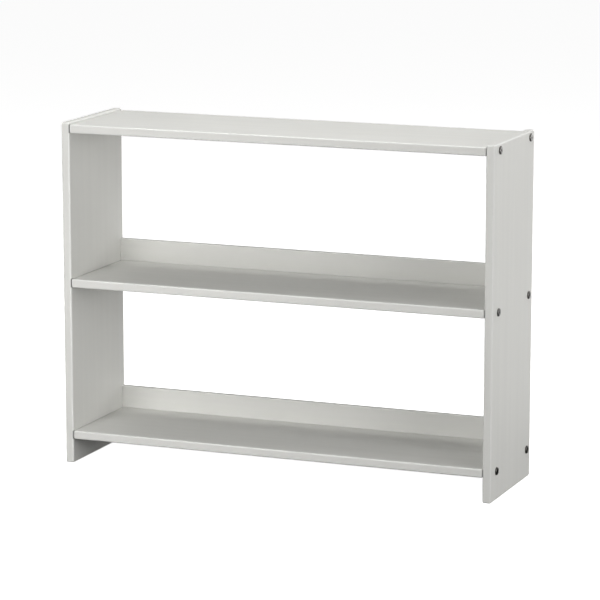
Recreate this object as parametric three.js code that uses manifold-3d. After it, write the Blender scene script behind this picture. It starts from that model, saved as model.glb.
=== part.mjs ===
// Desk hutch: two side panels, three shelves, two low back rails and the hardware that joins them.
// Millimetres. +Z is up, +X is to the right and the open front faces -Y.
// The origin is on the floor, in the middle.
import * as THREE from 'three';
import { mergeVertices } from 'three/addons/utils/BufferGeometryUtils.js';
import { RoundedBoxGeometry } from 'three/addons/geometries/RoundedBoxGeometry.js';
import Module from 'manifold-3d';

// Boards.
const overallWidth = 910;       // across the outer faces of the side panels
const overallDepth = 248;       // front edge to rear edge of the side panels
const overallHeight = 698;      // floor to the top edge of the side panels
const boardThickness = 17.5;    // side panels and shelves
const edgeRadius = 3;           // round-over on every edge of those boards
const topLip = 4;               // side panels above the top shelf
const footHeight = 49.5;        // floor to the underside of the bottom shelf
const shelfSetback = 1;         // shelf edges behind the panel edges, front and rear
const jointGap = 0.1;           // hairline left where one board butts another

// Back rails, which stand on the rear edge of the middle and bottom shelves.
const railHeight = 46;
const railThickness = 12;
const railRadius = 2;           // round-over on the two long upper edges only

// Connector bolts: through a panel, along the middle of the shelf, into a barrel nut.
const boltRadius = 3;
const boltLength = 50;          // under the head
const boltHeadRadius = 8;
const boltHeadHeight = 2.8;
const boltHeadChamfer = 1.4;
const boltSocket = 4;           // across the flats
const boltSocketDepth = 2.2;
const boltFromFront = 33;       // bolt axis behind the panel's front edge
const boltFromRear = 25;        // bolt axis ahead of the panel's rear edge
const boltHoleClearance = 0.5;  // on the radius, in the boards
const boltTipClearance = 4;     // hole beyond the bolt's tip

// Barrel nuts, set into the underside of a shelf.
const nutRadius = 5;
const nutLength = 13;
const nutFromEnd = 25;          // nut axis from the end of the shelf
const nutThreadClearance = 0.15; // on the radius, around the bolt
const nutHoleClearance = 0.1;   // on the radius and beyond the inner end
const nutSlotWidth = 1.2;
const nutSlotDepth = 1.6;

// Wood dowels between the bolts of each joint.
const dowelRadius = 4;
const dowelLength = 28;
const dowelInPanel = 10;
const dowelSpacing = 96;
const dowelChamfer = 1;
const dowelClearance = 0.1;     // on the radius and beyond each end

// Countersunk screws, up through a shelf into the rail that stands on it.
const screwRadius = 2;
const screwLength = 40;
const screwHeadRadius = 4;
const screwHeadHeight = 2.4;
const screwPointLength = 5;
const screwSink = 0.3;          // head below the shelf's underside
const screwRecess = 4.4;        // across the cross recess
const screwRecessWidth = 1;
const screwRecessDepth = 1.6;
const screwClearance = 0.15;    // on the radius and under the head
const screwsPerRail = 4;
const screwFromRailEnd = 60;

// Facets.
const edgeSegments = 2;         // each quarter-round has twice as many
const roundSides = 16;          // bolts and nuts
const smallSides = 12;          // dowels and screws
const holeSides = 12;           // holes in the boards

// Sizes that follow from those above.
const panelX = (overallWidth - boardThickness) / 2;
const shelfEndX = overallWidth / 2 - boardThickness - jointGap;
const shelfLength = 2 * shelfEndX;
const shelfDepth = overallDepth - 2 * shelfSetback;
const topShelfZ = overallHeight - topLip - boardThickness / 2;
const bottomShelfZ = footHeight + boardThickness / 2;
const shelfHeights = {
  top: topShelfZ,
  middle: (topShelfZ + bottomShelfZ) / 2,
  bottom: bottomShelfZ,
};
const railLevels = ['middle', 'bottom'];
const railY = overallDepth / 2 - shelfSetback - railThickness / 2;
const boltRows = {
  front: boltFromFront - overallDepth / 2,
  rear: overallDepth / 2 - boltFromRear,
};
const dowelRows = { front: -dowelSpacing / 2, rear: dowelSpacing / 2 };
const sides = { left: -1, right: 1 };
const screwSpan = shelfLength - 2 * screwFromRailEnd;
const screwPlaces = Array.from(
  { length: screwsPerRail },
  (_, i) => -screwSpan / 2 + (i * screwSpan) / (screwsPerRail - 1),
);

const wasm = await Module();
wasm.setup();

const paint = { color: 0xd9d9d3, roughness: 0.45, metalness: 0 };
const darkMetal = { color: 0x56554f, roughness: 0.4, metalness: 0.9 };
const zinc = { color: 0xb9bab6, roughness: 0.35, metalness: 1 };
const beech = { color: 0xcfae82, roughness: 0.75, metalness: 0 };

const hutch = new THREE.Group();
hutch.name = 'desk_hutch';

function addPiece(name, geometry, finish, x, y, z) {
  const flat = geometry.index ? geometry.toNonIndexed() : geometry;
  flat.computeVertexNormals();
  const mesh = new THREE.Mesh(flat, new THREE.MeshStandardMaterial(finish));
  mesh.name = name;
  mesh.position.set(x, y, z);
  hutch.add(mesh);
}

// A closed manifold solid from any three.js geometry.
function solidOf(geometry) {
  const bare = geometry.clone();
  bare.deleteAttribute('normal');
  bare.deleteAttribute('uv');
  const merged = mergeVertices(bare);
  return new wasm.Manifold(new wasm.Mesh({
    numProp: 3,
    vertProperties: new Float32Array(merged.attributes.position.array),
    triVerts: new Uint32Array(merged.index.array),
  }));
}

function geometryOf(solid) {
  const mesh = solid.getMesh();
  const geometry = new THREE.BufferGeometry();
  geometry.setAttribute('position', new THREE.BufferAttribute(new Float32Array(mesh.vertProperties), 3));
  geometry.setIndex(new THREE.BufferAttribute(new Uint32Array(mesh.triVerts), 1));
  return geometry;
}

function cutAway(geometry, tools) {
  const cut = tools.reduce((solid, tool) => solid.subtract(solidOf(tool)), solidOf(geometry));
  return geometryOf(cut);
}

// A board with all its edges rounded over, centred on the origin.
function board(length, depth, height, radius) {
  return new RoundedBoxGeometry(length, depth, height, edgeSegments, radius);
}

// The facets of a hole lie outside its true circle, so what fits the circle fits the hole.
function drillOf(lowRadius, highRadius, length, count) {
  const grow = 1 / Math.cos(Math.PI / count);
  return new THREE.CylinderGeometry(highRadius * grow, lowRadius * grow, length, count);
}

// A straight hole along X from x0 to x1.
function holeAlongX(radius, x0, x1, y, z, count) {
  const drill = drillOf(radius, radius, Math.abs(x1 - x0), count);
  return drill.rotateZ(-Math.PI / 2).translate((x0 + x1) / 2, y, z);
}

// A straight or tapered hole along Z from z0 up to z1.
function holeAlongZ(lowRadius, highRadius, z0, z1, x, y, count) {
  const drill = drillOf(lowRadius, highRadius, z1 - z0, count);
  return drill.rotateX(Math.PI / 2).translate(x, y, (z0 + z1) / 2);
}

// A turned piece: its profile is a list of [radius, height] that starts and ends on the axis.
function turned(profile, count) {
  return new THREE.LatheGeometry(profile.map(([r, h]) => new THREE.Vector2(r, h)), count);
}

// Side panels: bolt holes right through, blind dowel holes in the inner face.
function sidePanel(side) {
  const outer = boardThickness / 2;
  const inner = -side * outer;
  const drills = [];
  for (const z of Object.values(shelfHeights)) {
    const localZ = z - overallHeight / 2;
    for (const y of Object.values(boltRows)) {
      const radius = boltRadius + boltHoleClearance;
      drills.push(holeAlongX(radius, -outer - 1, outer + 1, y, localZ, holeSides));
    }
    for (const y of Object.values(dowelRows)) {
      const floor = inner + side * (dowelInPanel + dowelClearance);
      const radius = dowelRadius + dowelClearance;
      drills.push(holeAlongX(radius, inner - side, floor, y, localZ, holeSides));
    }
  }
  return cutAway(board(boardThickness, overallDepth, overallHeight, edgeRadius), drills);
}

// Shelves: bolt and dowel holes in the ends, nut holes and screw holes from the underside.
function shelf(hasRail) {
  const drills = [];
  const under = -boardThickness / 2;
  for (const side of Object.values(sides)) {
    const end = side * shelfEndX;
    for (const y of Object.values(boltRows)) {
      const tip = side * (overallWidth / 2 - boltLength - boltTipClearance);
      drills.push(holeAlongX(boltRadius + boltHoleClearance, end + side, tip, y, 0, holeSides));
      const nutX = end - side * nutFromEnd;
      const radius = nutRadius + nutHoleClearance;
      const nutTop = nutLength / 2 + nutHoleClearance;
      drills.push(holeAlongZ(radius, radius, under - 1, nutTop, nutX, y, holeSides));
    }
    for (const y of Object.values(dowelRows)) {
      const depth = dowelLength - dowelInPanel + dowelClearance;
      const floor = side * (overallWidth / 2 - boardThickness - depth);
      drills.push(holeAlongX(dowelRadius + dowelClearance, end + side, floor, y, 0, holeSides));
    }
  }
  if (hasRail) {
    const shank = screwRadius + screwClearance;
    const coneTop = under + screwSink + screwHeadHeight;
    const coneSlope = (screwHeadRadius - screwRadius) / screwHeadHeight;
    const mouth = shank + coneSlope * (coneTop - under + 1);
    for (const x of screwPlaces) {
      drills.push(holeAlongZ(shank, shank, under - 1, -under + 1, x, railY, holeSides));
      drills.push(holeAlongZ(mouth, shank, under - 1, coneTop, x, railY, holeSides));
    }
  }
  return cutAway(board(shelfLength, shelfDepth, boardThickness, edgeRadius), drills);
}

// Back rails: rounded along the top, square at the ends and below, with blind pilot holes for the screws.
function backRail() {
  const under = -railHeight / 2;
  const spare = 2 * railRadius;
  const roughLength = shelfLength + 2 * spare;
  const blank = board(roughLength, railThickness, railHeight + spare, railRadius).translate(0, 0, -spare / 2);
  const trims = Object.values(sides).map((side) => {
    const end = new THREE.BoxGeometry(2 * spare, 2 * railThickness, 2 * railHeight);
    return end.translate(side * (shelfLength / 2 + spare), 0, 0);
  });
  const below = new THREE.BoxGeometry(roughLength, 2 * railThickness, 2 * spare);
  trims.push(below.translate(0, 0, under - spare));
  const depth = screwLength + screwSink - boardThickness - jointGap + screwClearance;
  const radius = screwRadius + screwClearance;
  const drills = screwPlaces.map(
    (x) => holeAlongZ(radius, radius, under - 1, under + depth, x, 0, holeSides),
  );
  return cutAway(blank, [...trims, ...drills]);
}

// A connector bolt along +Y with its seat at the origin and a hexagon socket in its head.
function connectorBolt() {
  const body = turned([
    [0, -boltLength],
    [boltRadius - 0.6, -boltLength],
    [boltRadius, -boltLength + 0.8],
    [boltRadius, 0],
    [boltHeadRadius, 0],
    [boltHeadRadius, boltHeadHeight - boltHeadChamfer],
    [boltHeadRadius - boltHeadChamfer, boltHeadHeight],
    [0, boltHeadHeight],
  ], roundSides);
  const corner = boltSocket / 2 / Math.cos(Math.PI / 6);
  const socket = new THREE.CylinderGeometry(corner, corner, 2 * boltSocketDepth, 6);
  socket.translate(0, boltHeadHeight, 0);
  return cutAway(body, [socket]);
}

// A barrel nut along Z: cross hole for the bolt, slot for a screwdriver in the lower end.
function barrelNut() {
  const body = new THREE.CylinderGeometry(nutRadius, nutRadius, nutLength, roundSides).rotateX(Math.PI / 2);
  const reach = nutRadius + 1;
  const thread = holeAlongX(boltRadius + nutThreadClearance, -reach, reach, 0, 0, roundSides);
  const slot = new THREE.BoxGeometry(2 * reach, nutSlotWidth, 2 * nutSlotDepth);
  slot.translate(0, 0, -nutLength / 2);
  return cutAway(body, [thread, slot]);
}

// A wood dowel along X, centred on the origin.
function dowel() {
  const half = dowelLength / 2;
  return turned([
    [0, -half],
    [dowelRadius - dowelChamfer, -half],
    [dowelRadius, dowelChamfer - half],
    [dowelRadius, half - dowelChamfer],
    [dowelRadius - dowelChamfer, half],
    [0, half],
  ], smallSides).rotateZ(-Math.PI / 2);
}

// A countersunk screw along +Z with the face of its head at the origin.
function railScrew() {
  const body = turned([
    [0, 0],
    [screwHeadRadius, 0],
    [screwRadius, screwHeadHeight],
    [screwRadius, screwLength - screwPointLength],
    [0, screwLength],
  ], smallSides).rotateX(Math.PI / 2);
  const blades = [
    new THREE.BoxGeometry(screwRecess, screwRecessWidth, 2 * screwRecessDepth),
    new THREE.BoxGeometry(screwRecessWidth, screwRecess, 2 * screwRecessDepth),
  ];
  return cutAway(body, blades);
}

for (const [sideName, side] of Object.entries(sides)) {
  addPiece(`${sideName}_side_panel`, sidePanel(side), paint, side * panelX, 0, overallHeight / 2);
}

for (const [level, z] of Object.entries(shelfHeights)) {
  addPiece(`${level}_shelf`, shelf(railLevels.includes(level)), paint, 0, 0, z);
}

for (const level of railLevels) {
  const railZ = shelfHeights[level] + boardThickness / 2 + jointGap + railHeight / 2;
  addPiece(`${level}_back_rail`, backRail(), paint, 0, railY, railZ);
}

// Each shelf end takes two bolts, two barrel nuts and two dowels.
for (const [sideName, side] of Object.entries(sides)) {
  const seatX = side * (overallWidth / 2 + jointGap);
  const nutX = side * (shelfEndX - nutFromEnd);
  const dowelX = side * (overallWidth / 2 - boardThickness + dowelInPanel - dowelLength / 2);
  for (const [level, z] of Object.entries(shelfHeights)) {
    for (const [row, y] of Object.entries(boltRows)) {
      const place = `${sideName}_${level}_${row}`;
      const bolt = connectorBolt().rotateZ(-side * Math.PI / 2);
      addPiece(`bolt_${place}`, bolt, darkMetal, seatX, y, z);
      addPiece(`barrel_nut_${place}`, barrelNut(), zinc, nutX, y, z);
    }
    for (const [row, y] of Object.entries(dowelRows)) {
      addPiece(`dowel_${sideName}_${level}_${row}`, dowel(), beech, dowelX, y, z);
    }
  }
}

for (const level of railLevels) {
  const headZ = shelfHeights[level] - boardThickness / 2 + screwSink;
  screwPlaces.forEach((x, i) => {
    addPiece(`rail_screw_${level}_${i + 1}`, railScrew(), zinc, x, railY, headZ);
  });
}

export default hutch;
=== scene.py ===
# Desk hutch: painted boards bolted together, with the fittings inside the joints.
import math

import bmesh
import bpy
from mathutils import Matrix, Vector


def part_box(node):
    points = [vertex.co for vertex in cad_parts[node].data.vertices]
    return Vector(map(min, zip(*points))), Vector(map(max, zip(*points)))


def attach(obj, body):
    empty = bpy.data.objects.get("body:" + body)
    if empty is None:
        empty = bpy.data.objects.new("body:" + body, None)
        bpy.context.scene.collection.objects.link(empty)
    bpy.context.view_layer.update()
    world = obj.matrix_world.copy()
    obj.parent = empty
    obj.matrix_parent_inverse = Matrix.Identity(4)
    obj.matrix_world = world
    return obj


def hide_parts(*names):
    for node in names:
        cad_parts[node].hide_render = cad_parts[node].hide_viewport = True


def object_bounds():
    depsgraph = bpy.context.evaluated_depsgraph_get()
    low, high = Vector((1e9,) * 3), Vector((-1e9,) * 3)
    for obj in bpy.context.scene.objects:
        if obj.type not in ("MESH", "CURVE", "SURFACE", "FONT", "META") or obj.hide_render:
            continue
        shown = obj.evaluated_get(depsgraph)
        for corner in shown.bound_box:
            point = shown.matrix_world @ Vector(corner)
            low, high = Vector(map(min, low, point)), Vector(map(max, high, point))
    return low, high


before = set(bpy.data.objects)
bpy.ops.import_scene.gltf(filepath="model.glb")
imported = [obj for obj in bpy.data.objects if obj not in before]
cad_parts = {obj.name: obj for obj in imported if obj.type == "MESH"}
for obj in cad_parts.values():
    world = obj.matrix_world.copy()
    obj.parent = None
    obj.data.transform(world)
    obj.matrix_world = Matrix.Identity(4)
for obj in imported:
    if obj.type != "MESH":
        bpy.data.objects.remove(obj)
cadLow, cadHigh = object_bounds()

mm = 0.001    # every length in this script is in metres
scene = bpy.context.scene


# Camera: from the right and a little above, far off, through a long lens.

cameraView = {
    "place": (2.251, -5.605, 1.511),
    "turn": 21.8,         # degrees to the left of straight ahead, which is along +Y
    "tiltDown": 10.91,    # degrees
    "lens": 184.5,        # the lens and the sensor in millimetres
    "sensor": 36.0,
    "nearest": 0.1,
    "farthest": 60,
}

eye = bpy.data.cameras.new("studioCamera")
eye.lens = cameraView["lens"]
eye.sensor_width = cameraView["sensor"]
eye.clip_start = cameraView["nearest"]
eye.clip_end = cameraView["farthest"]
eyeObject = bpy.data.objects.new("studioCamera", eye)
eyeObject.location = cameraView["place"]
eyeObject.rotation_euler = (
    math.radians(90 - cameraView["tiltDown"]),
    0,
    math.radians(cameraView["turn"]),
)
scene.collection.objects.link(eyeObject)
scene.camera = eyeObject
print("camera placed")


# Node trees: short ways to add what the finishes and the fittings use again and again.

def addNode(tree, kind, place=(0, 0), inputs=None, **settings):
    made = tree.nodes.new(kind)
    made.location = place
    for name, value in settings.items():
        setattr(made, name, value)
    for key, value in (inputs or {}).items():
        if isinstance(value, bpy.types.NodeSocket):
            tree.links.new(value, made.inputs[key])
        else:
            made.inputs[key].default_value = value
    return made


def calc(tree, operation, first, second=0.0, third=0.0, place=(0, 0)):
    wanted = {0: first, 1: second, 2: third}
    return addNode(tree, "ShaderNodeMath", place, wanted, operation=operation).outputs[0]


def newMaterial(name):
    material = bpy.data.materials.new(name)
    material.use_nodes = True
    tree = material.node_tree
    where = addNode(tree, "ShaderNodeTexCoord", (-1700, 0)).outputs["Object"]
    return material, tree, tree.nodes["Principled BSDF"], where


def addNoise(tree, where, scale, detail, roughness=0.5, place=(0, 0)):
    return addNode(tree, "ShaderNodeTexNoise", place, {
        "Vector": where, "Scale": scale, "Detail": detail, "Roughness": roughness,
    }).outputs["Fac"]


def remap(tree, value, before, after=(0.0, 1.0), place=(0, 0)):
    return addNode(tree, "ShaderNodeMapRange", place, {
        "Value": value, "From Min": before[0], "From Max": before[1], "To Min": after[0], "To Max": after[1],
    }).outputs[0]


def twoTone(tree, share, tones, stops, place):
    ramp = addNode(tree, "ShaderNodeValToRGB", place, {"Fac": share})
    for element, tone, stop in zip(ramp.color_ramp.elements, tones, stops):
        element.position = stop
        element.color = (*tone, 1)
    return ramp.outputs["Color"]


def addRelief(tree, shader, height, place):
    relief = addNode(tree, "ShaderNodeBump", place, {"Height": height, "Strength": 1.0, "Distance": 1.0})
    tree.links.new(relief.outputs[0], shader.inputs["Normal"])


# Studio: a pale floor, a pale surround and soft lamps.

studio = {
    "floorSize": 24.0,
    "floorDrop": 0.2 * mm,          # below the feet, so that the two faces don't fight
    "floorTone": (0.9, 0.9, 0.89),
    "floorMottle": 0.995,           # darkest share of the tone in its faint clouds
    "floorClouds": 3.0,             # for each metre
    "floorRoughness": 0.9,
    "floorGloss": 0.2,
    "floorGlow": 0.92,              # keeps the floor pale away from the lamps
    "surround": (1.0, 1.0, 1.0),
    "skyPower": 0.125,
    "skySpread": 50.0,              # degrees
}


def makeFloor():
    half = studio["floorSize"] / 2
    height = cadLow.z - studio["floorDrop"]
    corners = [(-half, -half, height), (half, -half, height), (half, half, height), (-half, half, height)]
    mesh = bpy.data.meshes.new("floor")
    mesh.from_pydata(corners, [], [(0, 1, 2, 3)])
    paper, tree, shader, where = newMaterial("floorPaper")
    clouds = addNoise(tree, where, studio["floorClouds"], 4.0, place=(-700, 0))
    pale = studio["floorTone"]
    dark = [c * studio["floorMottle"] for c in pale]
    tone = twoTone(tree, clouds, (dark, pale), (0.0, 1.0), (-450, 0))
    tree.links.new(tone, shader.inputs["Base Color"])
    shader.inputs["Roughness"].default_value = studio["floorRoughness"]
    shader.inputs["Specular IOR Level"].default_value = studio["floorGloss"]
    shader.inputs["Emission Color"].default_value = (1, 1, 1, 1)
    shader.inputs["Emission Strength"].default_value = studio["floorGlow"]
    mesh.materials.append(paper)
    floor = bpy.data.objects.new("floor", mesh)
    floor.visible_diffuse = False    # the hutch is lit by the lamps alone
    floor.visible_glossy = False
    scene.collection.objects.link(floor)


def makeSurround():
    world = bpy.data.worlds.new("paleSurround")
    world.use_nodes = True
    back = world.node_tree.nodes["Background"]
    back.inputs["Color"].default_value = (*studio["surround"], 1)
    back.inputs["Strength"].default_value = 1.0
    for kind in ("diffuse", "glossy", "transmission", "scatter"):
        setattr(world.cycles_visibility, kind, False)
    scene.world = world


# Each lamp: where it stands, what it faces, its size in metres and its power in watts.
lamps = {
    "frontWall": {"place": (0, -4.0, 1.05), "aim": (0, 0, 0.45), "size": (2.4, 2.0), "power": 37.5},
    "rightWall": {"place": (4.0, 0, 1.05), "aim": (0, 0, 0.45), "size": (2.4, 2.0), "power": 56.2},
    "rightFront": {"place": (3.46, -2.0, 0.95), "aim": (0, 0, 0.4), "size": (1.8, 1.8), "power": 53.2},
    "rightRear": {"place": (2.0, 3.46, 0.95), "aim": (0, 0, 0.4), "size": (1.8, 1.8), "power": 34.2},
    "leftRear": {"place": (-3.4, 1.5, 0.95), "aim": (0, 0, 0.4), "size": (1.8, 1.8), "power": 30.0},
    "lowLeft": {"place": (-0.6, -1.4, 0.36), "aim": (-0.3, 0, 0.3), "size": (0.7, 0.7), "power": 9.7},
    "overRear": {"place": (-0.5, 0.3, 2.6), "aim": (-0.1, 0, 0.5), "size": (1.0, 1.0), "power": 15.0},
    "overFront": {"place": (-0.4, -1.5, 2.6), "aim": (-0.1, 0, 0.5), "size": (1.0, 1.0), "power": 21.8},
    "overRight": {"place": (0.7, 0.1, 2.8), "aim": (0.2, 0, 0.5), "size": (1.0, 1.0), "power": 21.3},
    "rearCard": {"place": (0, 1.2, 0.02), "aim": (0, 1.2, 1), "size": (2.4, 1.4), "power": 12.4},
}


def makeLamps():
    for name, lamp in lamps.items():
        light = bpy.data.lights.new(name, "AREA")
        light.shape = "RECTANGLE"
        light.size, light.size_y = lamp["size"]
        light.energy = lamp["power"]
        held = bpy.data.objects.new(name, light)
        towards = Vector(lamp["aim"]) - Vector(lamp["place"])
        held.location = lamp["place"]
        held.rotation_euler = towards.to_track_quat("-Z", "Y").to_euler()
        held.visible_camera = False
        scene.collection.objects.link(held)
    sky = bpy.data.lights.new("skylight", "SUN")
    sky.energy = studio["skyPower"]
    sky.angle = math.radians(studio["skySpread"])
    scene.collection.objects.link(bpy.data.objects.new("skylight", sky))


makeFloor()
makeSurround()
makeLamps()
scene.view_settings.view_transform = "Standard"
print("studio ready")


# Names and places that the boards and the fittings share.

sides = ("left", "right")
levels = ("top", "middle", "bottom")
rows = ("front", "rear")
railLevels = ("middle", "bottom")
screwsPerRail = 4
jointNames = [f"{side}_{level}_{row}" for side in sides for level in levels for row in rows]
screwNames = [
    f"rail_screw_{level}_{count + 1}" for level in railLevels for count in range(screwsPerRail)
]


# Finishes.

paintFinish = {
    "tone": (0.675, 0.673, 0.644),      # light warm grey
    "arrisHighlight": (0.712, 0.71, 0.686),  # painted highlight: a lighter tone along the round-overs
    "thinTone": (0.63, 0.625, 0.59),    # where it has worn thin there
    "wearPatches": 55.0,                # for each metre
    "wearRange": (0.6, 0.85),           # the noise at which wear begins, and at which it is full
    "streakTone": 0.975,                # darkest share of the tone in a brush streak
    "streakRange": (0.35, 0.65),
    "streakWidth": 17 * mm,
    "streakLength": 420 * mm,
    "mottle": 0.985,                    # darkest share of the tone in its cloudy variation
    "clouds": 9.0,                      # for each metre
    "cloudRange": (0.3, 0.7),
    "shadeDepth": 0.8,                        # how far painted shade darkens the groove at a shelf's end
    "shadeReach": 2.8 * mm,
    "shadeFromEdge": 3,                  # in reaches, from a panel's front or rear edge
    "roughness": (0.54, 0.64),
    "arrisSmoother": 0.16,              # how much smoother handling has made the round-overs
    "gloss": 0.25,
    "peelSize": 1.6 * mm,               # orange peel of the sprayed coat
    "peelDepth": 0.012 * mm,
    "grainWidth": 2.2 * mm,             # grain of the board under the paint
    "grainLength": 90 * mm,
    "grainDepth": 0.02 * mm,
}


def stretched(tree, where, width, length, axis, place):
    # Coordinates for a pattern that runs along one axis.
    stretch = [1 / width] * 3
    stretch[axis] = 1 / length
    return addNode(tree, "ShaderNodeMapping", place, {"Vector": where, "Scale": stretch}).outputs[0]


def paintedGrooveShade(tree, where):
    # Painted shade on a panel's round-over beside each shelf end, where the shelf end shades the groove: 1 is
    # unshaded, less is darker.
    spot = addNode(tree, "ShaderNodeSeparateXYZ", (-1500, 900), {0: where}).outputs
    reach = paintFinish["shadeReach"]
    beside = 0.0
    for level in levels:
        low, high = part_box(f"{level}_shelf")
        away = calc(tree, "ABSOLUTE", calc(tree, "SUBTRACT", spot[2], (low.z + high.z) / 2))
        half = (high.z - low.z) / 2
        near = remap(tree, away, (half + reach / 2, half - reach / 2), place=(-1300, 900))
        beside = calc(tree, "MAXIMUM", near, beside)
    panelLow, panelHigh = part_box("right_side_panel")
    inner, edge = panelLow.x, panelHigh.y
    farIn, start = edge - paintFinish["shadeFromEdge"] * reach, edge - reach
    deep = remap(tree, calc(tree, "ABSOLUTE", spot[0]), (inner + reach, inner), place=(-1300, 1100))
    atEdge = remap(tree, calc(tree, "ABSOLUTE", spot[1]), (farIn, start), place=(-1300, 1300))
    paintedShade = calc(tree, "MULTIPLY", calc(tree, "MULTIPLY", beside, deep), atEdge)
    return calc(tree, "MULTIPLY_ADD", paintedShade, -paintFinish["shadeDepth"], 1.0)


def makePaint(name, grainAxis, paintedShade=False):
    paint, tree, shader, where = newMaterial(name)
    finish = paintFinish
    alongGrain = stretched(tree, where, finish["grainWidth"], finish["grainLength"], grainAxis, (-1500, -500))
    grain = addNoise(tree, alongGrain, 1.0, 3.0, 0.6, (-1250, -500))
    peel = addNoise(tree, where, 1 / finish["peelSize"], 2.0, 0.5, (-1250, -750))
    cloud = addNoise(tree, where, finish["clouds"], 5.0, 0.55, (-1250, 250))
    arris = addNode(tree, "ShaderNodeAttribute", (-1250, 0), attribute_name="arris").outputs["Fac"]

    # The tone varies in faint clouds and in long brush streaks.
    alongStroke = stretched(
        tree, where, finish["streakWidth"], finish["streakLength"], grainAxis, (-1500, 500))
    stroke = addNoise(tree, alongStroke, 1.0, 4.0, 0.55, (-1250, 500))
    streaks = remap(tree, stroke, finish["streakRange"], (finish["streakTone"], 1.0), (-1000, 500))
    clouds = remap(tree, cloud, finish["cloudRange"], (finish["mottle"], 1.0), (-1000, 300))
    depth = calc(tree, "MULTIPLY", streaks, clouds, place=(-800, 400))
    # The groove beside each shelf end gets painted shade.
    if paintedShade:
        depth = calc(tree, "MULTIPLY", depth, paintedGrooveShade(tree, where), place=(-700, 400))
    # The round-overs get a lighter tone, a painted highlight.
    coat = addNode(tree, "ShaderNodeMix", (-800, 200), {
        0: arris, 6: (*finish["tone"], 1), 7: (*finish["arrisHighlight"], 1),
    }, data_type="RGBA").outputs[2]
    tone = addNode(tree, "ShaderNodeVectorMath", (-650, 300), {
        0: coat, "Scale": depth,
    }, operation="SCALE").outputs[0]

    # Paint wears thin in short runs along the round-overs.
    wear = addNoise(tree, where, finish["wearPatches"], 4.0, 0.65, (-1250, -250))
    patches = remap(tree, wear, finish["wearRange"], place=(-1000, -100))
    worn = calc(tree, "MULTIPLY", arris, patches, place=(-800, -50))
    colour = addNode(tree, "ShaderNodeMix", (-600, 200), {
        0: worn, 6: tone, 7: (*finish["thinTone"], 1),
    }, data_type="RGBA").outputs[2]
    tree.links.new(colour, shader.inputs["Base Color"])

    rough = remap(tree, cloud, finish["cloudRange"], finish["roughness"], (-600, -50))
    handled = calc(tree, "MULTIPLY", arris, -finish["arrisSmoother"], place=(-600, -300))
    tree.links.new(calc(tree, "ADD", rough, handled, place=(-350, -100)), shader.inputs["Roughness"])
    shader.inputs["Specular IOR Level"].default_value = finish["gloss"]

    grainHeight = calc(tree, "MULTIPLY", grain, finish["grainDepth"], place=(-800, -500))
    peelHeight = calc(tree, "MULTIPLY", peel, finish["peelDepth"], place=(-800, -700))
    addRelief(tree, shader, calc(tree, "ADD", grainHeight, peelHeight, place=(-600, -550)), (-350, -450))
    return paint


metalFinish = {
    "darkBolt": {"tone": (0.14, 0.136, 0.128), "roughness": (0.24, 0.38), "scratch": 0.6 * mm},
    "zincFitting": {"tone": (0.62, 0.62, 0.61), "roughness": (0.25, 0.4), "scratch": 0.4 * mm},
}

metalWear = {
    "clouds": 420.0,             # for each metre
    "tones": (0.82, 1.08),       # shares of the metal's own tone
    "stops": (0.3, 0.75),
    "scratchDepth": 0.01 * mm,
}


def makeMetal(name):
    finish = metalFinish[name]
    metal, tree, shader, where = newMaterial(name)
    shader.inputs["Metallic"].default_value = 1.0
    cloud = addNoise(tree, where, metalWear["clouds"], 4.0, 0.6, (-1100, 150))
    tones = [[min(1, c * share) for c in finish["tone"]] for share in metalWear["tones"]]
    tree.links.new(twoTone(tree, cloud, tones, metalWear["stops"], (-800, 200)), shader.inputs["Base Color"])
    smooth, rough = finish["roughness"]
    tree.links.new(remap(tree, cloud, (0.0, 1.0), (rough, smooth), (-800, -50)), shader.inputs["Roughness"])
    scratches = addNoise(tree, where, 1 / finish["scratch"], 3.0, place=(-1100, -250))
    height = calc(tree, "MULTIPLY", scratches, metalWear["scratchDepth"], place=(-700, -300))
    addRelief(tree, shader, height, (-400, -250))
    return metal


beechFinish = {
    "tones": ((0.5, 0.34, 0.19), (0.66, 0.49, 0.31)),    # dark fibres, then pale ones
    "stops": (0.3, 0.6),
    "fibreWidth": 0.5 * mm,
    "fibreLength": 9 * mm,
    "fibreDepth": 0.04 * mm,
    "roughness": (0.6, 0.75),
}


def makeBeech():
    finish = beechFinish
    beech, tree, shader, where = newMaterial("beech")
    fibre = stretched(tree, where, finish["fibreWidth"], finish["fibreLength"], 0, (-1100, 0))
    streak = addNoise(tree, fibre, 1.0, 4.0, 0.7, (-900, 0))
    tone = twoTone(tree, streak, finish["tones"], finish["stops"], (-600, 100))
    tree.links.new(tone, shader.inputs["Base Color"])
    smooth, rough = finish["roughness"]
    tree.links.new(remap(tree, streak, (0.0, 1.0), (rough, smooth), (-600, -150)), shader.inputs["Roughness"])
    height = calc(tree, "MULTIPLY", streak, finish["fibreDepth"], place=(-600, -350))
    addRelief(tree, shader, height, (-300, -250))
    return beech


# The uprights carry painted shade in the grooves beside the shelf ends.
uprightPaint = makePaint("paintedUpright", 2, paintedShade=True)
levelPaint = makePaint("paintedLevel", 0)
darkBolt = makeMetal("darkBolt")
zincFitting = makeMetal("zincFitting")
beechWood = makeBeech()
print("finishes mixed")


# Finished pieces.

def middleOf(node):
    low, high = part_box(node)
    return (low + high) / 2


def plainCopy(source):
    view = bpy.context.evaluated_depsgraph_get()
    return bpy.data.meshes.new_from_object(source.evaluated_get(view), depsgraph=view)


shading = {
    "sharpFrom": 33,        # degrees between two faces
    "evenWeight": 100,      # how strongly large faces rule the shading beside them
}


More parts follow.
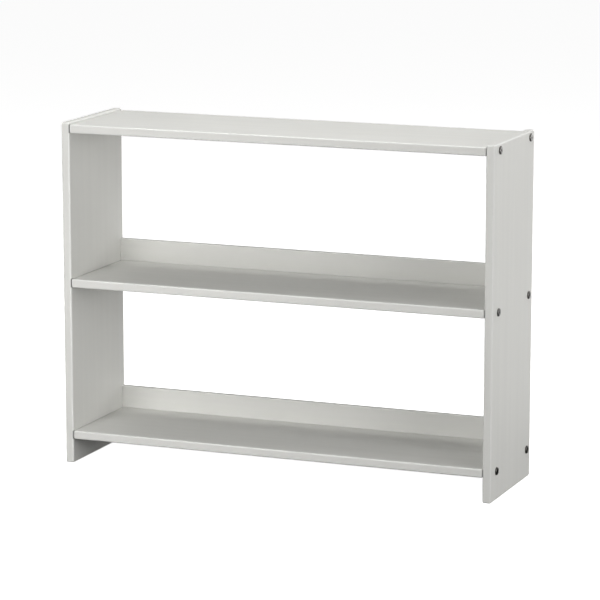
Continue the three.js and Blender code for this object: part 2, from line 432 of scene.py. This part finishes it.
def showPiece(name, mesh, finish, nodes):
    mesh.name = name
    mesh.materials.clear()
    mesh.materials.append(finish)
    mesh.shade_smooth()
    mesh.set_sharp_from_angle(angle=math.radians(shading["sharpFrom"]))
    piece = bpy.data.objects.new(name, mesh)
    scene.collection.objects.link(piece)
    even = piece.modifiers.new("evenShading", "WEIGHTED_NORMAL")
    even.keep_sharp = True
    even.weight = shading["evenWeight"]
    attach(piece, "root")
    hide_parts(*nodes)
    print(name, len(mesh.polygons), "faces")


# Fittings: each kind is grown by its own node tree on the points where it sits.

weldReach = 0.0005 * mm     # points closer than this become one


def newTree(name, numbers):
    tree = bpy.data.node_groups.new(name, "GeometryNodeTree")
    shelf = tree.interface
    shelf.new_socket("Geometry", in_out="INPUT", socket_type="NodeSocketGeometry")
    for label, value in numbers.items():
        kind = "NodeSocketInt" if isinstance(value, int) else "NodeSocketFloat"
        shelf.new_socket(label, in_out="INPUT", socket_type=kind).default_value = value
    shelf.new_socket("Finish", in_out="INPUT", socket_type="NodeSocketMaterial")
    shelf.new_socket("Geometry", in_out="OUTPUT", socket_type="NodeSocketGeometry")
    return tree, addNode(tree, "NodeGroupInput", (-2400, 0)).outputs


def valueByRow(tree, row, values, place):
    pick = addNode(tree, "GeometryNodeIndexSwitch", place, {"Index": row}, data_type="FLOAT")
    while len(pick.index_switch_items) < len(values):
        pick.index_switch_items.new()
    for count, value in enumerate(values):
        if isinstance(value, bpy.types.NodeSocket):
            tree.links.new(value, pick.inputs[count + 1])
        else:
            pick.inputs[count + 1].default_value = value
    return pick.outputs[0]


def rolledGrid(tree, around, along, place):
    # A flat grid to roll up into a turned shape, with the angle and the row of each point.
    x, y = place
    aroundEnd = calc(tree, "ADD", around, 1, place=(x - 200, y))
    grid = addNode(tree, "GeometryNodeMeshGrid", place, {
        "Size X": 1.0, "Size Y": 1.0, "Vertices X": aroundEnd, "Vertices Y": along,
    })
    flat = addNode(tree, "GeometryNodeInputPosition", (x - 400, y - 200))
    split = addNode(tree, "ShaderNodeSeparateXYZ", (x - 200, y - 200), {0: flat.outputs[0]})
    angle = calc(tree, "MULTIPLY_ADD", split.outputs[0], 2 * math.pi, math.pi, place=(x, y - 200))
    lastRow = calc(tree, "SUBTRACT", along, 1, place=(x - 200, y - 400))
    share = calc(tree, "ADD", split.outputs[1], 0.5, place=(x, y - 400))
    row = calc(tree, "MULTIPLY", share, lastRow, place=(x + 200, y - 400))
    row = calc(tree, "ROUND", row, place=(x + 400, y - 400))
    return grid.outputs["Mesh"], angle, row, lastRow


def rollUp(tree, grid, angle, radius, height, place):
    x, y = place
    cosine = calc(tree, "COSINE", angle, place=(x - 400, y))
    sine = calc(tree, "SINE", angle, place=(x - 400, y - 150))
    flatX = calc(tree, "MULTIPLY", radius, cosine, place=(x - 200, y))
    flatY = calc(tree, "MULTIPLY", radius, sine, place=(x - 200, y - 150))
    spot = addNode(tree, "ShaderNodeCombineXYZ", (x, y - 100), {0: flatX, 1: flatY, 2: height})
    rolled = addNode(tree, "GeometryNodeSetPosition", (x + 200, y), {
        "Geometry": grid, "Position": spot.outputs[0],
    })
    closed = addNode(tree, "GeometryNodeMergeByDistance", (x + 400, y), {
        "Geometry": rolled.outputs[0], "Distance": weldReach,
    })
    return closed.outputs[0]


def turnedGrid(tree, around, profile, place):
    # The profile lists (radius, height) upwards, and starts and ends on the axis.
    x, y = place
    grid, angle, row = rolledGrid(tree, around, len(profile), place)[:3]
    radius = valueByRow(tree, row, [spot[0] for spot in profile], (x + 600, y))
    height = valueByRow(tree, row, [spot[1] for spot in profile], (x + 600, y - 300))
    return grid, angle, radius, height


def turnedShape(tree, around, profile, place):
    grid, angle, radius, height = turnedGrid(tree, around, profile, place)
    return rollUp(tree, grid, angle, radius, height, (place[0] + 1100, place[1]))


def threadedRod(tree, sizes, place):
    # A rod along Z with a helical thread. Its tip is at the bottom and its upper end at the height "top".
    # It narrows over the length "point", to the share "blunt" of its radius.
    x, y = place
    grid, angle, row, lastRow = rolledGrid(tree, sizes["around"], sizes["rings"], (x, y))
    rings = calc(tree, "SUBTRACT", lastRow, 2, place=(x + 400, y))
    ring = calc(tree, "SUBTRACT", row, 1, place=(x + 600, y))
    share = calc(tree, "DIVIDE", ring, rings, place=(x + 800, y))
    share = addNode(tree, "ShaderNodeClamp", (x + 1000, y), {"Value": share}).outputs[0]
    full = calc(tree, "ADD", sizes["length"], sizes["top"], place=(x + 800, y - 200))
    fromTip = calc(tree, "MULTIPLY", share, full, place=(x + 1200, y))
    height = calc(tree, "SUBTRACT", fromTip, sizes["length"], place=(x + 1400, y))

    turns = calc(tree, "DIVIDE", height, sizes["pitch"], place=(x + 1200, y - 400))
    phase = calc(tree, "MULTIPLY_ADD", angle, -0.5 / math.pi, turns, place=(x + 1400, y - 400))
    wave = calc(tree, "PINGPONG", phase, 0.5, place=(x + 1600, y - 400))
    wave = calc(tree, "MULTIPLY", wave, 2, place=(x + 1800, y - 400))
    wave = calc(tree, "POWER", wave, sizes["sharpness"], place=(x + 2000, y - 400))
    hollow = calc(tree, "SUBTRACT", 1, wave, place=(x + 2200, y - 400))

    # The thread runs out before the plain part under the head.
    plainFoot = calc(tree, "MULTIPLY", sizes["plain"], -1, place=(x + 1400, y - 650))
    toPlain = calc(tree, "MULTIPLY_ADD", height, -1, plainFoot, place=(x + 1600, y - 650))
    fade = addNode(tree, "ShaderNodeClamp", (x + 2000, y - 650), {
        "Value": calc(tree, "DIVIDE", toPlain, sizes["pitch"], place=(x + 1800, y - 650)),
    }).outputs[0]
    hollow = calc(tree, "MULTIPLY", hollow, fade, place=(x + 2200, y - 500))
    bite = calc(tree, "MULTIPLY", hollow, sizes["depth"], place=(x + 2400, y - 500))
    radius = calc(tree, "SUBTRACT", sizes["radius"], bite, place=(x + 2600, y - 400))

    # The tip narrows, and the first and the last row of points close on the axis.
    taper = addNode(tree, "ShaderNodeClamp", (x + 2000, y - 900), {
        "Value": calc(tree, "DIVIDE", fromTip, sizes["point"], place=(x + 1800, y - 900)),
    }).outputs[0]
    blunt = sizes["blunt"]
    taper = calc(tree, "MULTIPLY_ADD", taper, 1 - blunt, blunt, place=(x + 2200, y - 900))
    radius = calc(tree, "MULTIPLY", radius, taper, place=(x + 2800, y - 400))
    pastFirst = calc(tree, "GREATER_THAN", row, 0.5, place=(x + 2200, y - 1100))
    nearLast = calc(tree, "SUBTRACT", lastRow, 0.5, place=(x + 2200, y - 1300))
    beforeLast = calc(tree, "LESS_THAN", row, nearLast, place=(x + 2400, y - 1300))
    within = calc(tree, "MULTIPLY", pastFirst, beforeLast, place=(x + 2600, y - 1100))
    radius = calc(tree, "MULTIPLY", radius, within, place=(x + 3000, y - 400))
    return rollUp(tree, grid, angle, radius, height, (x + 3400, y))


def combine(tree, operation, first, others, place):
    mixed = addNode(tree, "GeometryNodeMeshBoolean", place, operation=operation, solver="EXACT")
    if operation == "DIFFERENCE":
        tree.links.new(first, mixed.inputs["Mesh 1"])
    else:
        others = [first, *others]
    for other in others:
        tree.links.new(other, mixed.inputs["Mesh 2"])
    return mixed.outputs["Mesh"]


def moved(tree, shape, place, shift=(0, 0, 0), turn=(0, 0, 0)):
    spot = addNode(tree, "ShaderNodeCombineXYZ", (place[0] - 200, place[1] - 200), dict(enumerate(shift)))
    return addNode(tree, "GeometryNodeTransform", place, {
        "Geometry": shape, "Translation": spot.outputs[0], "Rotation": turn,
    }).outputs[0]


def box(tree, sizes, place):
    size = addNode(tree, "ShaderNodeCombineXYZ", (place[0] - 200, place[1]), dict(enumerate(sizes)))
    return addNode(tree, "GeometryNodeMeshCube", place, {"Size": size.outputs[0]}).outputs["Mesh"]


def setOnPoints(tree, given, shape):
    # One copy on each point, its head along the point's "aim", turned by chance from a fixed seed.
    aim = addNode(tree, "GeometryNodeInputNamedAttribute", (2400, -300), {
        "Name": "aim",
    }, data_type="FLOAT_VECTOR")
    facing = addNode(tree, "FunctionNodeAlignRotationToVector", (2600, -300), {
        "Vector": aim.outputs[0],
    }, axis="Z")
    chance = addNode(tree, "FunctionNodeRandomValue", (2400, -550), {
        "Seed": given["Seed"],
    }, data_type="FLOAT")
    tree.links.new(given["Largest turn"], chance.inputs[3])
    spin = addNode(tree, "FunctionNodeAxisAngleToRotation", (2600, -550), {
        "Axis": (0, 0, 1), "Angle": chance.outputs[1],
    })
    turned = addNode(tree, "FunctionNodeRotateRotation", (2800, -400), {
        "Rotation": facing.outputs[0], "Rotate By": spin.outputs[0],
    }, rotation_space="LOCAL")
    copies = addNode(tree, "GeometryNodeInstanceOnPoints", (3000, 0), {
        "Points": given["Geometry"], "Instance": shape, "Rotation": turned.outputs[0],
    })
    real = addNode(tree, "GeometryNodeRealizeInstances", (3200, 0), {"Geometry": copies.outputs[0]})
    coated = addNode(tree, "GeometryNodeSetMaterial", (3400, 0), {
        "Geometry": real.outputs[0], "Material": given["Finish"],
    })
    finish = addNode(tree, "NodeGroupOutput", (3600, 0))
    tree.links.new(coated.outputs[0], finish.inputs[0])


def growPiece(name, tree, values, finish, spots, nodes):
    seed = bpy.data.meshes.new(name)
    seed.from_pydata([spot for spot, aim in spots], [], [])
    aimed = seed.attributes.new("aim", "FLOAT_VECTOR", "POINT")
    for count, (spot, aim) in enumerate(spots):
        aimed.data[count].vector = aim
    grower = bpy.data.objects.new("grower", seed)
    scene.collection.objects.link(grower)
    grow = grower.modifiers.new("grow", "NODES")
    grow.node_group = tree
    for item in tree.interface.items_tree:
        if item.in_out == "INPUT" and item.name in values:
            grow[item.identifier] = values[item.name]
        if item.in_out == "INPUT" and item.name == "Finish":
            grow[item.identifier] = finish
    bpy.context.view_layer.update()
    mesh = plainCopy(grower)
    grower.modifiers.clear()
    bpy.data.objects.remove(grower)
    showPiece(name, mesh, finish, nodes)


# Connector bolts: a broad flat head with a rounded rim and a hexagon socket.
boltShape = {
    "Head radius": 8.0 * mm,
    "Head height": 2.8 * mm,
    "Rim rounding": 1.8 * mm,
    "Socket across flats": 4.0 * mm,
    "Socket depth": 2.2 * mm,
    "Socket lead-in": 0.35 * mm,
    "Drill cone": 0.6,               # depth for each unit of radius
    "Shank radius": 3.0 * mm,
    "Shank length": 50.0 * mm,
    "Plain length": 20.0 * mm,
    "Thread pitch": 1.0 * mm,
    "Thread depth": 0.55 * mm,
    "Sides": 48,
    "Thread sides": 20,
    "Thread rings": 210,
    "Seed": 4,
    "Largest turn": 6.28,            # radians
}


def boltTree():
    tree, given = newTree("connectorBolt", boltShape)
    wide, tall, rim = given["Head radius"], given["Head height"], given["Rim rounding"]
    seatBreak = 0.15 * mm    # chamfer where the head meets the board
    overlap = 0.05 * mm      # lets one cutting shape run into the next
    arcSteps = 6
    profile = [(0.0, 0.0), (calc(tree, "SUBTRACT", wide, seatBreak), 0.0), (wide, seatBreak)]
    for step in range(arcSteps + 1):
        angle = math.radians(90 * step / arcSteps)
        profile.append((
            calc(tree, "MULTIPLY_ADD", rim, math.cos(angle) - 1, wide),
            calc(tree, "MULTIPLY_ADD", rim, math.sin(angle) - 1, tall),
        ))
    profile.append((0.0, tall))
    head = turnedShape(tree, given["Sides"], profile, (-2000, 600))
    rod = threadedRod(tree, {
        "around": given["Thread sides"], "rings": given["Thread rings"],
        "length": given["Shank length"], "top": 0.6 * mm, "pitch": given["Thread pitch"],
        "depth": given["Thread depth"], "sharpness": 1.0, "plain": given["Plain length"],
        "radius": given["Shank radius"], "point": 0.8 * mm, "blunt": 0.75,
    }, (-2000, -600))
    whole = combine(tree, "UNION", head, [rod], (1600, 200))

    # The socket: a hexagon with a chamfered mouth, which ends in the cone that its drill left.
    corner = calc(tree, "DIVIDE", given["Socket across flats"], 2 * math.cos(math.pi / 6))
    hexagon = addNode(tree, "GeometryNodeMeshCylinder", (1200, 600), {
        "Vertices": 6, "Radius": corner, "Depth": calc(tree, "MULTIPLY", given["Socket depth"], 2),
    }).outputs["Mesh"]
    hexagon = moved(tree, hexagon, (1400, 600), (0, 0, tall))
    lead = given["Socket lead-in"]
    mouth = addNode(tree, "GeometryNodeMeshCone", (1200, 900), {
        "Vertices": 36, "Radius Top": calc(tree, "MULTIPLY_ADD", lead, 2, corner),
        "Radius Bottom": calc(tree, "SUBTRACT", corner, overlap), "Depth": calc(tree, "MULTIPLY", lead, 2),
    }).outputs["Mesh"]
    mouthFoot = calc(tree, "MULTIPLY_ADD", lead, -0.4, tall)    # the rest of the cone stands above the head
    mouth = moved(tree, mouth, (1400, 900), (0, 0, mouthFoot))
    coneDepth = calc(tree, "MULTIPLY", corner, given["Drill cone"])
    drillCone = addNode(tree, "GeometryNodeMeshCone", (1200, 1200), {
        "Vertices": 24, "Radius Top": corner, "Radius Bottom": 0.0, "Depth": coneDepth,
    }).outputs["Mesh"]
    coneFoot = calc(tree, "SUBTRACT", calc(tree, "SUBTRACT", tall, given["Socket depth"]), coneDepth)
    drillCone = moved(tree, drillCone, (1400, 1200), (0, 0, calc(tree, "ADD", coneFoot, overlap)))
    setOnPoints(tree, given, combine(tree, "DIFFERENCE", whole, [hexagon, mouth, drillCone], (1900, 300)))
    return tree


def boltSpots():
    spots = []
    for joint in jointNames:
        low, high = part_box(f"bolt_{joint}")
        out = -1 if joint.startswith("left") else 1
        face = high.x if out > 0 else low.x
        seat = face - out * boltShape["Head height"]
        spots.append(((seat, (low.y + high.y) / 2, (low.z + high.z) / 2), (out, 0, 0)))
    return spots


growPiece(
    "connector_bolts", boltTree(), boltShape, darkBolt, boltSpots(),
    [f"bolt_{joint}" for joint in jointNames],
)


# Barrel nuts: a cross hole for the bolt and a slot to line it up by.
nutShape = {
    "Radius": 5.0 * mm,
    "Length": 13.0 * mm,
    "Edge": 0.4 * mm,
    "Cross hole radius": 3.15 * mm,
    "Slot width": 1.2 * mm,
    "Slot depth": 1.6 * mm,
    "Sides": 40,
    "Seed": 1,
    "Largest turn": 0.0,
}


def nutTree():
    tree, given = newTree("barrelNut", nutShape)
    wide, edge = given["Radius"], given["Edge"]
    half = calc(tree, "MULTIPLY", given["Length"], 0.5)
    bottom = calc(tree, "MULTIPLY", half, -1)
    narrow = calc(tree, "SUBTRACT", wide, edge)
    body = turnedShape(tree, given["Sides"], [
        (0.0, bottom), (narrow, bottom), (wide, calc(tree, "ADD", bottom, edge)),
        (wide, calc(tree, "SUBTRACT", half, edge)), (narrow, half), (0.0, half),
    ], (-2000, 300))
    reach = calc(tree, "MULTIPLY", wide, 3)
    crossHole = addNode(tree, "GeometryNodeMeshCylinder", (-200, -300), {
        "Vertices": 32, "Radius": given["Cross hole radius"], "Depth": reach,
    }).outputs["Mesh"]
    crossHole = moved(tree, crossHole, (0, -300), turn=(0, math.pi / 2, 0))
    slotSizes = (reach, given["Slot width"], calc(tree, "MULTIPLY", given["Slot depth"], 2))
    slotTool = moved(tree, box(tree, slotSizes, (-200, -600)), (0, -600), (0, 0, bottom))
    setOnPoints(tree, given, combine(tree, "DIFFERENCE", body, [crossHole, slotTool], (1400, 0)))
    return tree


growPiece(
    "barrel_nuts", nutTree(), nutShape, zincFitting,
    [(middleOf(f"barrel_nut_{joint}"), (0, 0, 1)) for joint in jointNames],
    [f"barrel_nut_{joint}" for joint in jointNames],
)


# Dowels: fluted beech pins with chamfered ends.
dowelShape = {
    "Radius": 4.0 * mm,
    "Length": 28.0 * mm,
    "Chamfer": 1.0 * mm,
    "Flute depth": 0.35 * mm,
    "Flutes": 16,
    "Sides": 96,
    "Seed": 7,
    "Largest turn": 6.28,        # radians
}


def dowelTree():
    tree, given = newTree("flutedDowel", dowelShape)
    wide, chamfer = given["Radius"], given["Chamfer"]
    half = calc(tree, "MULTIPLY", given["Length"], 0.5)
    bottom = calc(tree, "MULTIPLY", half, -1)
    narrow = calc(tree, "SUBTRACT", wide, chamfer)
    lowShoulder = calc(tree, "ADD", bottom, chamfer)
    highShoulder = calc(tree, "SUBTRACT", half, chamfer)
    grid, angle, radius, height = turnedGrid(tree, given["Sides"], [
        (0.0, bottom), (narrow, bottom), (wide, lowShoulder),
        (wide, highShoulder), (narrow, half), (0.0, half),
    ], (-2000, 0))
    share = calc(tree, "DIVIDE", radius, wide, place=(-1100, -600))
    wave = calc(tree, "COSINE", calc(tree, "MULTIPLY", angle, given["Flutes"]), place=(-1100, -800))
    wave = calc(tree, "MULTIPLY_ADD", wave, 0.5, 0.5, place=(-900, -800))
    flute = calc(tree, "MULTIPLY", wave, given["Flute depth"], place=(-900, -700))
    flute = calc(tree, "MULTIPLY", flute, share, place=(-700, -700))
    radius = calc(tree, "SUBTRACT", radius, flute, place=(-500, -300))
    setOnPoints(tree, given, rollUp(tree, grid, angle, radius, height, (0, 0)))
    return tree


growPiece(
    "dowels", dowelTree(), dowelShape, beechWood,
    [(middleOf(f"dowel_{joint}"), (1, 0, 0)) for joint in jointNames],
    [f"dowel_{joint}" for joint in jointNames],
)


# Rail screws: countersunk wood screws, driven up through a shelf into the rail on it.
screwShape = {
    "Length": 40.0 * mm,
    "Shank radius": 2.0 * mm,
    "Head radius": 4.0 * mm,
    "Head height": 2.4 * mm,
    "Rim": 0.2 * mm,
    "Recess across": 4.4 * mm,
    "Recess width": 1.0 * mm,
    "Recess depth": 1.6 * mm,
    "Plain length": 12.0 * mm,
    "Thread pitch": 1.8 * mm,
    "Thread depth": 0.6 * mm,
    "Point length": 5.0 * mm,
    "Sides": 40,
    "Thread sides": 24,
    "Thread rings": 200,
    "Seed": 11,
    "Largest turn": 6.28,        # radians
}


def screwTree():
    tree, given = newTree("railScrew", screwShape)
    wide, shank = given["Head radius"], given["Shank radius"]
    under = calc(tree, "MULTIPLY", given["Head height"], -1)
    neck = calc(tree, "MULTIPLY", shank, 0.96)    # hides inside the shank, so that the two join cleanly
    rim = calc(tree, "MULTIPLY", given["Rim"], -1)
    rimTop = calc(tree, "MULTIPLY", rim, 0.4)
    head = turnedShape(tree, given["Sides"], [
        (0.0, under), (neck, under), (wide, rim),
        (wide, rimTop), (calc(tree, "ADD", wide, rim), 0.0), (0.0, 0.0),
    ], (-2000, 600))
    rod = threadedRod(tree, {
        "around": given["Thread sides"], "rings": given["Thread rings"],
        "length": given["Length"], "top": -0.9 * mm, "pitch": given["Thread pitch"],
        "depth": given["Thread depth"], "sharpness": 2.5, "plain": given["Plain length"],
        "radius": shank, "point": given["Point length"], "blunt": 0.03,
    }, (-2000, -600))
    whole = combine(tree, "UNION", head, [rod], (1600, 200))
    deep = calc(tree, "MULTIPLY", given["Recess depth"], 2)
    blades = [
        box(tree, (given["Recess across"], given["Recess width"], deep), (1400, 600)),
        box(tree, (given["Recess width"], given["Recess across"], deep), (1400, 800)),
    ]
    setOnPoints(tree, given, combine(tree, "DIFFERENCE", whole, blades, (1900, 300)))
    return tree


growPiece(
    "rail_screws", screwTree(), screwShape, zincFitting,
    [((middleOf(name).x, middleOf(name).y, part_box(name)[0].z), (0, 0, -1)) for name in screwNames],
    screwNames,
)
print("fittings grown")


# Boards: their edges are rounded over, then they are drilled where the fittings go.

boardShape = {
    "edgeRadius": 3.0 * mm,
    "railRadius": 2.0 * mm,      # only along the two upper edges
    "roundSteps": 6,
    "drillSides": 40,
    "drillLip": 0.5 * mm,        # chamfer at the mouth of a hole
    "boltRoom": 0.5 * mm,        # on the radius, around a bolt
    "boltTipRoom": 4.0 * mm,
    "nutRoom": 0.1 * mm,
    "dowelRoom": 0.1 * mm,
    "screwRoom": 0.15 * mm,
    "lipOverlap": 0.01 * mm,     # lets the chamfer run into the hole
    "arrisShares": (0.02, 0.9),  # of the radius, between which a point counts as on the round-over
}


def addDrill(cutter, start, end, startRadius, endRadius):
    way = Vector(end) - Vector(start)
    turn = way.to_track_quat("Z", "Y").to_matrix().to_4x4()
    place = Matrix.Translation((Vector(start) + Vector(end)) / 2) @ turn
    bmesh.ops.create_cone(
        cutter, cap_ends=True, segments=boardShape["drillSides"],
        radius1=startRadius, radius2=endRadius, depth=way.length, matrix=place,
    )


def isUpperLong(edge, middle):
    first, second = (vertex.co for vertex in edge.verts)
    return min(first.z, second.z) > middle.z and abs(first.x - second.x) > mm


def makeBoard(node, radius, paint, drills, upperOnly=False):
    low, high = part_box(node)
    middle = (low + high) / 2
    body = bmesh.new()
    scaleUp = Matrix.Diagonal((*(high - low), 1))
    bmesh.ops.create_cube(body, size=1, matrix=Matrix.Translation(middle) @ scaleUp)
    rounded = [edge for edge in body.edges if not upperOnly or isUpperLong(edge, middle)]
    bmesh.ops.bevel(
        body, geom=rounded, offset=radius, segments=boardShape["roundSteps"],
        profile=0.5, affect="EDGES", clamp_overlap=True,
    )
    mesh = bpy.data.meshes.new(node)
    body.to_mesh(mesh)
    body.free()
    blank = bpy.data.objects.new("blank", mesh)
    scene.collection.objects.link(blank)

    tools = []
    for count, group in enumerate(drills):
        cutter = bmesh.new()
        for drill in group:
            addDrill(cutter, *drill)
        toolMesh = bpy.data.meshes.new("drills")
        cutter.to_mesh(toolMesh)
        cutter.free()
        tool = bpy.data.objects.new("drills", toolMesh)
        scene.collection.objects.link(tool)
        cut = blank.modifiers.new(f"drill{count}", "BOOLEAN")
        cut.operation = "DIFFERENCE"
        cut.solver = "EXACT"
        cut.object = tool
        tools.append(tool)
    bpy.context.view_layer.update()
    drilled = plainCopy(blank)
    for spent in (*tools, blank):
        bpy.data.objects.remove(spent)

    # Marks the round-overs, so that the paint knows where the edges are.
    least, most = (radius * share for share in boardShape["arrisShares"])
    mark = drilled.attributes.new("arris", "FLOAT", "POINT")
    for vertex in drilled.vertices:
        depths = sorted(min(vertex.co[i] - low[i], high[i] - vertex.co[i]) for i in range(3))
        mark.data[vertex.index].value = 1.0 if least < depths[1] < most else 0.0

    showPiece(f"{node}_board", drilled, paint, [node])


def chamferAt(spot, inward, radius):
    # A short cone through a board's face that breaks the edge of a hole.
    lip = boardShape["drillLip"]
    start = [at - lip * way for at, way in zip(spot, inward)]
    end = [at + lip * way for at, way in zip(spot, inward)]
    return start, end, radius + 2 * lip, radius - boardShape["lipOverlap"]


def drillsForPanel(side):
    low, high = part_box(f"{side}_side_panel")
    out = 1 if side == "right" else -1
    inner = low.x if out > 0 else high.x
    outer = high.x if out > 0 else low.x
    straight, mouths = [], []
    for level in levels:
        for row in rows:
            bolt = middleOf(f"bolt_{side}_{level}_{row}")
            radius = boltShape["Shank radius"] + boardShape["boltRoom"]
            start = (inner - out * mm, bolt.y, bolt.z)
            straight.append((start, (outer + out * mm, bolt.y, bolt.z), radius, radius))
            mouths.append(chamferAt((inner, bolt.y, bolt.z), (out, 0, 0), radius))
            dowelLow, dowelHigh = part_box(f"dowel_{side}_{level}_{row}")
            peg = (dowelLow + dowelHigh) / 2
            radius = (dowelHigh.z - dowelLow.z) / 2 + boardShape["dowelRoom"]
            tip = dowelHigh.x if out > 0 else dowelLow.x
            floor = tip + out * boardShape["dowelRoom"]
            straight.append(((inner - out * mm, peg.y, peg.z), (floor, peg.y, peg.z), radius, radius))
            mouths.append(chamferAt((inner, peg.y, peg.z), (out, 0, 0), radius))
    return [straight, mouths]


def drillsForShelf(level):
    low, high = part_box(f"{level}_shelf")
    along, upward, mouths = [], [], []
    for side in sides:
        out = 1 if side == "right" else -1
        end = high.x if out > 0 else low.x
        for row in rows:
            boltLow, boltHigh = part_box(f"bolt_{side}_{level}_{row}")
            bolt = (boltLow + boltHigh) / 2
            tip = (boltLow.x if out > 0 else boltHigh.x) - out * boardShape["boltTipRoom"]
            radius = boltShape["Shank radius"] + boardShape["boltRoom"]
            along.append(((end + out * mm, bolt.y, bolt.z), (tip, bolt.y, bolt.z), radius, radius))
            nutLow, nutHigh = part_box(f"barrel_nut_{side}_{level}_{row}")
            nut = (nutLow + nutHigh) / 2
            radius = (nutHigh.y - nutLow.y) / 2 + boardShape["nutRoom"]
            top = nutHigh.z + boardShape["nutRoom"]
            upward.append(((nut.x, nut.y, low.z - mm), (nut.x, nut.y, top), radius, radius))
            mouths.append(chamferAt((nut.x, nut.y, low.z), (0, 0, 1), radius))
            dowelLow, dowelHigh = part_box(f"dowel_{side}_{level}_{row}")
            peg = (dowelLow + dowelHigh) / 2
            radius = (dowelHigh.z - dowelLow.z) / 2 + boardShape["dowelRoom"]
            floor = (dowelLow.x if out > 0 else dowelHigh.x) - out * boardShape["dowelRoom"]
            along.append(((end + out * mm, peg.y, peg.z), (floor, peg.y, peg.z), radius, radius))
    if level in railLevels:
        for count in range(screwsPerRail):
            screwLow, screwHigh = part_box(f"rail_screw_{level}_{count + 1}")
            screw = (screwLow + screwHigh) / 2
            headRadius = (screwHigh.y - screwLow.y) / 2
            shank = screwShape["Shank radius"] + boardShape["screwRoom"]
            slope = (headRadius - screwShape["Shank radius"]) / screwShape["Head height"]
            coneTop = screwLow.z + screwShape["Head height"]
            mouth = shank + slope * (coneTop - low.z + mm)
            below = (screw.x, screw.y, low.z - mm)
            upward.append((below, (screw.x, screw.y, high.z + mm), shank, shank))
            mouths.append((below, (screw.x, screw.y, coneTop), mouth, shank))
    return [along, upward, mouths]


def drillsForRail(level):
    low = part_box(f"{level}_back_rail")[0]
    pilots = []
    for count in range(screwsPerRail):
        screwLow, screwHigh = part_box(f"rail_screw_{level}_{count + 1}")
        screw = (screwLow + screwHigh) / 2
        radius = screwShape["Shank radius"] + boardShape["screwRoom"]
        tip = screwHigh.z + boardShape["screwRoom"]
        pilots.append(((screw.x, screw.y, low.z - mm), (screw.x, screw.y, tip), radius, radius))
    return [pilots]


for side in sides:
    makeBoard(f"{side}_side_panel", boardShape["edgeRadius"], uprightPaint, drillsForPanel(side))
for level in levels:
    makeBoard(f"{level}_shelf", boardShape["edgeRadius"], levelPaint, drillsForShelf(level))
for level in railLevels:
    drills = drillsForRail(level)
    makeBoard(f"{level}_back_rail", boardShape["railRadius"], levelPaint, drills, upperOnly=True)
print("boards cut, rounded and drilled")
